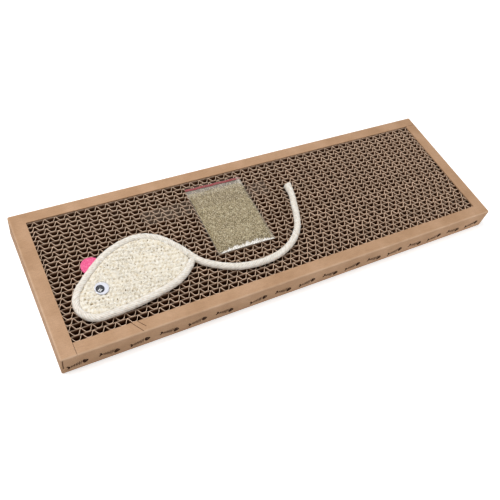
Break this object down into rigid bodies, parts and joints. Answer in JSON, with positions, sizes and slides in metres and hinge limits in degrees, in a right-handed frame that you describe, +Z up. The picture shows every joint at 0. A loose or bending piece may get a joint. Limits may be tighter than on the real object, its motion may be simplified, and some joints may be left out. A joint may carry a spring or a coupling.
{
  "type": "cardboard cat scratcher",
  "caption": "Flat kraft tray holding a corrugated scratching pad, with a glued loofah mouse on a rope tail and a taped grip-seal bag of catnip.",
  "frame": {"origin": "middle of the tray's underside", "axes": "+X along the tray's length, away from the mouse's nose; +Y towards the back long wall; +Z up"},
  "size_m": [0.425, 0.139, 0.0301],
  "materials": {
    "kraft_card": "matte unbleached kraft card",
    "corrugated_board": "matte recycled corrugated board, sawn edges",
    "loofah": "pressed cream loofah fibre",
    "cotton_rope": "soft white cotton rope",
    "pink_felt": "bright pink craft felt",
    "hot_melt_glue": "translucent hot-melt glue",
    "white_plastic": "white card-thin plastic",
    "black_plastic": "black plastic disc",
    "clear_plastic": "clear blown dome",
    "clear_film": "clear polythene film",
    "red_zip": "red press-to-close zip",
    "dried_catnip": "dried crushed leaf",
    "clear_tape": "clear packing tape"
  },
  "bodies": {
    "scratcher": {"kraft_tray": "kraft_card", "corrugated_strip_01": "corrugated_board", "corrugated_strip_02": "corrugated_board", "corrugated_strip_03": "corrugated_board", "corrugated_strip_04": "corrugated_board", "corrugated_strip_05": "corrugated_board", "corrugated_strip_06": "corrugated_board", "corrugated_strip_07": "corrugated_board", "corrugated_strip_08": "corrugated_board", "corrugated_strip_09": "corrugated_board", "corrugated_strip_10": "corrugated_board", "corrugated_strip_11": "corrugated_board", "corrugated_strip_12": "corrugated_board", "corrugated_strip_13": "corrugated_board", "corrugated_strip_14": "corrugated_board", "corrugated_strip_15": "corrugated_board", "corrugated_strip_16": "corrugated_board", "corrugated_strip_17": "corrugated_board", "corrugated_strip_18": "corrugated_board", "corrugated_strip_19": "corrugated_board", "corrugated_strip_20": "corrugated_board", "corrugated_strip_21": "corrugated_board", "corrugated_strip_22": "corrugated_board", "corrugated_strip_23": "corrugated_board", "corrugated_strip_24": "corrugated_board", "corrugated_strip_25": "corrugated_board", "corrugated_strip_26": "corrugated_board", "corrugated_strip_27": "corrugated_board", "corrugated_strip_28": "corrugated_board", "loofah_body": "loofah", "edge_rope": "cotton_rope", "rope_tail": "cotton_rope", "felt_ear": "pink_felt", "eye_backing": "white_plastic", "eye_dome": "clear_plastic", "mouse_glue_dots": "hot_melt_glue"},
    "pupil": {"eye_pupil": "black_plastic"},
    "catnip_bag": {"bag_back_film": "clear_film", "bag_front_film": "clear_film", "bag_zip_rib": "red_zip", "bag_zip_channel": "red_zip", "catnip_fill": "dried_catnip", "bag_tape": "clear_tape"}
  },
  "joints": [
    {"name": "pupil_roll", "type": "hinge", "parent": "scratcher", "child": "pupil", "pos_m": [-0.166, -0.0245, 0.0265], "axis": [0, 0, 1], "continuous": true},
    {"name": "bag_lift", "type": "slide", "parent": "scratcher", "child": "catnip_bag", "axis": [0, 0, 1], "range_m": [0, 0.12]}
  ]
}
